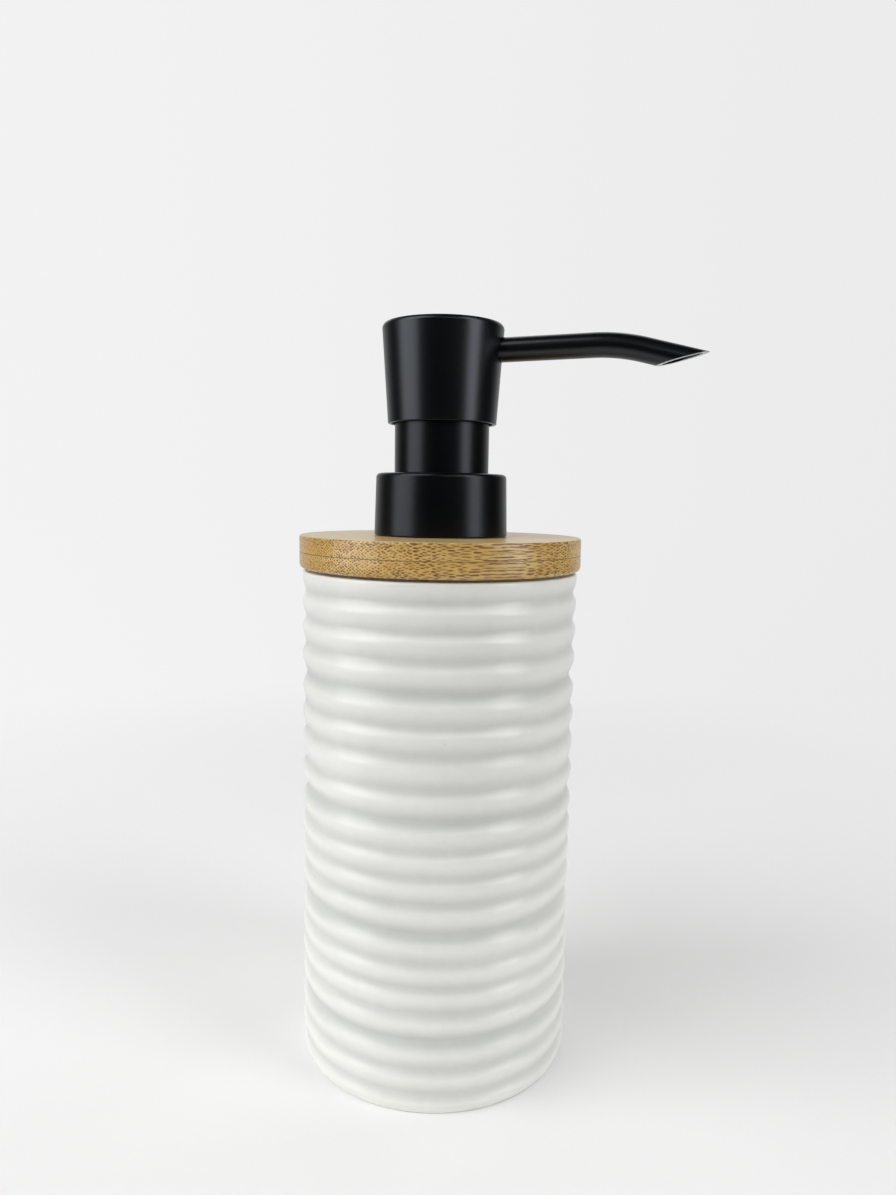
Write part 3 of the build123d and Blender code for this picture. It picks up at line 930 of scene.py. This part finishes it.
studio = {
    "paper": (0.90, 0.90, 0.90),
    "leftPaper": 0.90,
    "rightPaper": 0.825,
    "room": 0.25,
    "roomGlossy": 0.015,
    "backGlossy": 0.65,
    "floorRadius": 5.0,
    "fade": (0.13, 0.50),
}


def sideways(graph, split):
    # how far to the right of the shot a direction or a place lies
    turn = math.radians(camera["turn"])
    return split * math.cos(turn) + split.also("Y") * math.sin(turn)


def awayFromShot(graph, split):
    turn = math.radians(camera["turn"])
    return split.also("Y") * math.cos(turn) - split * math.sin(turn)


def farPaper(graph, side, away):
    # pale paper all round to look at, a dim room to be lit by, and for gloss to mirror
    # a dark room with pale paper only behind the object
    ray = graph.node("ShaderNodeLightPath", None, None, out="Is Camera Ray")
    glossy = ray.also("Is Glossy Ray")
    # painted light: the paper is brighter to the left, where the windows are, and dimmer to the right
    seen = graph.step(side, -0.7, 0.7, studio["leftPaper"], studio["rightPaper"])
    mirrored = graph.step(away, 0.35, 0.97, studio["roomGlossy"], studio["backGlossy"])
    return seen * ray + mirrored * glossy + (1 - ray) * (1 - glossy) * studio["room"]


def makeFloor():
    build = bmesh.new()
    bmesh.ops.create_circle(build, cap_ends=True, segments=96, radius=studio["floorRadius"])
    mesh = bpy.data.meshes.new("paperFloor")
    build.to_mesh(mesh)
    build.free()
    floor = bpy.data.objects.new("paperFloor", mesh)
    bpy.context.scene.collection.objects.link(floor)
    material, graph = newFinish("palePaper")
    place = objectPlace(graph)
    split = graph.node("ShaderNodeSeparateXYZ", None, {0: place})
    far = (split * split + split.also("Y") * split.also("Y")).maths("SQRT")
    grain = graph.noise(place, 900, 2, 0.5)
    paper = graph.blend(grain * 0.06, (*studio["paper"], 1), (0.8, 0.8, 0.8, 1))
    matt = graph.node("ShaderNodeBsdfPrincipled", None, {"Base Color": paper, "Roughness": 0.9})
    side, away = sideways(graph, split) / far, awayFromShot(graph, split) / far
    # painted light: past the fade the floor glows like lit paper instead of being lit
    light = {"Color": (1, 1, 1, 1), "Strength": farPaper(graph, side, away)}
    glow = graph.node("ShaderNodeEmission", None, light)
    fade = graph.step(far, *studio["fade"])
    mixed = graph.node("ShaderNodeMixShader", None, {0: fade, 1: matt, 2: glow})
    graph.node("ShaderNodeOutputMaterial", None, {"Surface": mixed})
    mesh.materials.append(material)


# lights that gloss doesn't mirror
dullLights = ("windowLeftFar", "windowRightFar", "skylightFront")


def makeLight(name, place, target, width, height, power):
    data = bpy.data.lights.new(name, "AREA")
    data.shape = "RECTANGLE"
    data.size, data.size_y = width, height
    data.energy = power
    light = bpy.data.objects.new(name, data)
    bpy.context.scene.collection.objects.link(light)
    light.location = place
    light.rotation_euler = (Vector(target) - Vector(place)).to_track_quat("-Z", "Y").to_euler()
    light.visible_camera = False
    light.visible_glossy = name not in dullLights


def around(angle, reach, height):
    # a place on a circle round the object: 0 is towards the camera, positive turns to its right
    turn = math.radians(angle) + math.radians(camera["turn"])
    return (reach * math.sin(turn), -reach * math.cos(turn), height)


camera = {
    "turn": 13.5,
    "reach": 0.23686,
    "height": 0.151575,
    "yaw": math.radians(0.546),
    "down": math.radians(6.564),
    "roll": math.radians(0.881),
    "lens": 26.454,
}


def makeCamera(view=camera):
    data = bpy.data.cameras.new("camera")
    data.lens, data.sensor_width, data.sensor_fit = view["lens"], 36, "AUTO"
    data.clip_start, data.clip_end = 0.01, 50
    yaw, down, roll = view["yaw"], view["down"], view["roll"]
    ahead = Vector((math.sin(yaw) * math.cos(down), math.cos(yaw) * math.cos(down), -math.sin(down)))
    right = Vector((math.cos(yaw), -math.sin(yaw), 0))
    upward = right.cross(ahead)
    leaned = right * math.cos(roll) + upward * math.sin(roll)
    stood = upward * math.cos(roll) - right * math.sin(roll)
    turn = Matrix.Rotation(math.radians(view["turn"]), 3, "Z")
    axes = Matrix((turn @ leaned, turn @ stood, turn @ -ahead)).transposed()
    shot = bpy.data.objects.new("camera", data)
    bpy.context.scene.collection.objects.link(shot)
    shot.matrix_world = Matrix.Translation(around(0, view["reach"], view["height"])) @ axes.to_4x4()
    bpy.context.scene.camera = shot
    bpy.context.scene.view_settings.view_transform = "Standard"


def makeWorld():
    world = bpy.data.worlds.new("studio")
    bpy.context.scene.world = world
    world.use_nodes = True
    graph = Graph(world.node_tree)
    direction = graph.node("ShaderNodeTexCoord", None, None, out="Generated")
    split = graph.node("ShaderNodeSeparateXYZ", None, {0: direction})
    level = farPaper(graph, sideways(graph, split), awayFromShot(graph, split))
    back = graph.node("ShaderNodeBackground", None, {"Color": (1, 1, 1, 1), "Strength": level})
    graph.node("ShaderNodeOutputWorld", None, {"Surface": back})


makeFloor()
makeWorld()
# name, angle round the object, reach, height, width, tallness, power
softLights = [
    ("windowLeft", -69, 0.95, 0.42, 0.72, 0.9, 5.0),
    ("windowLeftFar", -98, 0.95, 0.50, 0.8, 0.9, 1.9),
    ("skylightLeft", -56, 0.70, 1.02, 0.8, 0.4, 3.3),
    ("skylightFront", -10, 0.75, 0.85, 0.6, 0.6, 0.75),
    ("skylightRight", 60, 0.70, 0.95, 0.35, 0.3, 0.9),
    ("skylightBack", 180, 0.80, 0.90, 0.8, 0.8, 1.8),
    ("windowRight", 60, 1.05, 0.42, 0.45, 0.9, 4.1),
    ("windowRightFar", 120, 1.05, 0.42, 0.6, 0.9, 2.7),
]
for name, angle, reach, height, width, tallness, power in softLights:
    makeLight(name, around(angle, reach, height), (0, 0, 0.10), width, tallness, power)
makeLight("sheenCard", around(30, 0.85, 0.66), (0, 0, 0.10), 1.05, 0.36, 1.3)
bpy.data.objects["sheenCard"].visible_diffuse = False
makeCamera()
print("stage set")
